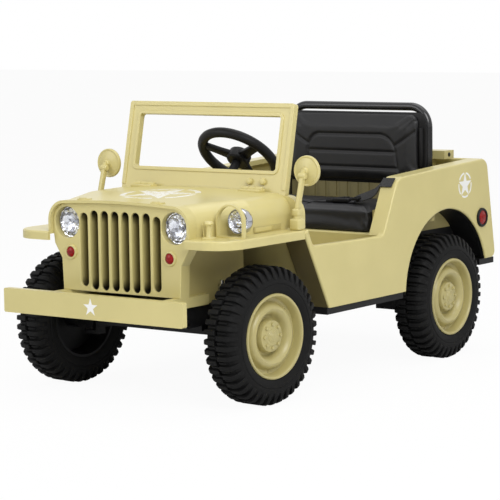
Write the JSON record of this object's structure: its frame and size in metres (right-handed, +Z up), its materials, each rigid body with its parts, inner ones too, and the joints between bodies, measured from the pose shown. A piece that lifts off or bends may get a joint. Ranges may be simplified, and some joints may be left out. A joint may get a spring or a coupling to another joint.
{
  "type": "ride-on toy 4x4 car",
  "caption": "Child's electric ride-on toy shaped like an open army 4x4: boxy body, slotted grille, flat fenders, fold-style open windscreen frame, bench seat, roll bar, steered front wheels.",
  "frame": {"origin": "on the ground under the middle of the overall box", "axes": "front towards -Y, the car's left side towards +X, +Z up"},
  "size_m": [0.6336, 1.18, 0.6243],
  "materials": {
    "khaki": "satin",
    "black": "gloss",
    "leather": "semi-matte",
    "tyre": "matte",
    "lamp": "bright",
    "red": "gloss",
    "webbing": "woven"
  },
  "bodies": {
    "body": {"back_shell": "black", "battery": "black", "belt_left": "webbing", "belt_right": "webbing", "bumper": "khaki", "cabin_floor": "khaki", "cargo_floor": "khaki", "chassis_pan": "black", "column": "black", "cowl": "khaki", "dampers": "black", "fender_lamp": "lamp", "fender_left": "khaki", "fender_post": "khaki", "fender_right": "khaki", "frame_rails": "khaki", "front_axle": "black", "grille": "khaki", "grille_plate": "black", "headlamp_left": "lamp", "headlamp_right": "lamp", "hood": "khaki", "lamp_guard": "khaki", "marker_lamps": "red", "mirrors": "khaki", "nose_walls": "khaki", "rear_axle": "black", "rear_rail": "khaki", "rib_panel": "khaki", "roll_bar": "black", "seat_back": "leather", "seat_base": "khaki", "seat_cushion": "leather", "side_left": "khaki", "side_right": "khaki", "tail_lamps": "red", "tail_panel": "khaki", "toe_board": "khaki", "wheelhouse_left": "khaki", "wheelhouse_right": "khaki", "windscreen": "khaki"},
    "steering_wheel": {"steering_wheel": "black"},
    "knuckle_left": {"knuckle_left": "black"},
    "knuckle_right": {"knuckle_right": "black"},
    "tie_rod": {"tie_rod": "black"},
    "wheel_front_left": {"rim_front_left": "khaki", "tyre_front_left": "tyre"},
    "wheel_front_right": {"rim_front_right": "khaki", "tyre_front_right": "tyre"},
    "wheel_rear_left": {"rim_rear_left": "khaki", "tyre_rear_left": "tyre"},
    "wheel_rear_right": {"rim_rear_right": "khaki", "tyre_rear_right": "tyre"}
  },
  "joints": [
    {"name": "steer_left", "type": "hinge", "parent": "body", "child": "knuckle_left", "pos_m": [0.205, -0.345, 0.147], "axis": [0, 0, 1], "range_deg": [-15, 25]},
    {"name": "steer_right", "type": "hinge", "parent": "body", "child": "knuckle_right", "pos_m": [-0.205, -0.345, 0.147], "axis": [0, 0, 1], "range_deg": [-15, 25]},
    {"name": "steering_wheel_turn", "type": "hinge", "parent": "body", "child": "steering_wheel", "pos_m": [0.009, -0.075, 0.496], "axis": [0, 0.6691, 0.7431], "range_deg": [-45, 75]},
    {"name": "tie_rod_pivot", "type": "hinge", "parent": "knuckle_left", "child": "tie_rod", "pos_m": [0.21023, -0.28523, 0.136], "axis": [0, 0, 1], "range_deg": [-25, 15]},
    {"name": "roll_front_left", "type": "hinge", "parent": "knuckle_left", "child": "wheel_front_left", "pos_m": [0.26477, -0.35023, 0.147], "axis": [0.9962, -0.0872, 0], "continuous": true},
    {"name": "roll_front_right", "type": "hinge", "parent": "knuckle_right", "child": "wheel_front_right", "pos_m": [-0.26477, -0.33977, 0.147], "axis": [0.9962, -0.0872, 0], "continuous": true},
    {"name": "roll_rear_left", "type": "hinge", "parent": "body", "child": "wheel_rear_left", "pos_m": [0.265, 0.365, 0.147], "axis": [1, 0, 0], "continuous": true},
    {"name": "roll_rear_right", "type": "hinge", "parent": "body", "child": "wheel_rear_right", "pos_m": [-0.265, 0.365, 0.147], "axis": [1, 0, 0], "continuous": true}
  ],
  "couplings": [
    {"joint": "steer_right", "follows": "steer_left", "ratio": 1},
    {"joint": "steering_wheel_turn", "follows": "steer_left", "ratio": 3},
    {"joint": "tie_rod_pivot", "follows": "steer_left", "ratio": -1}
  ]
}
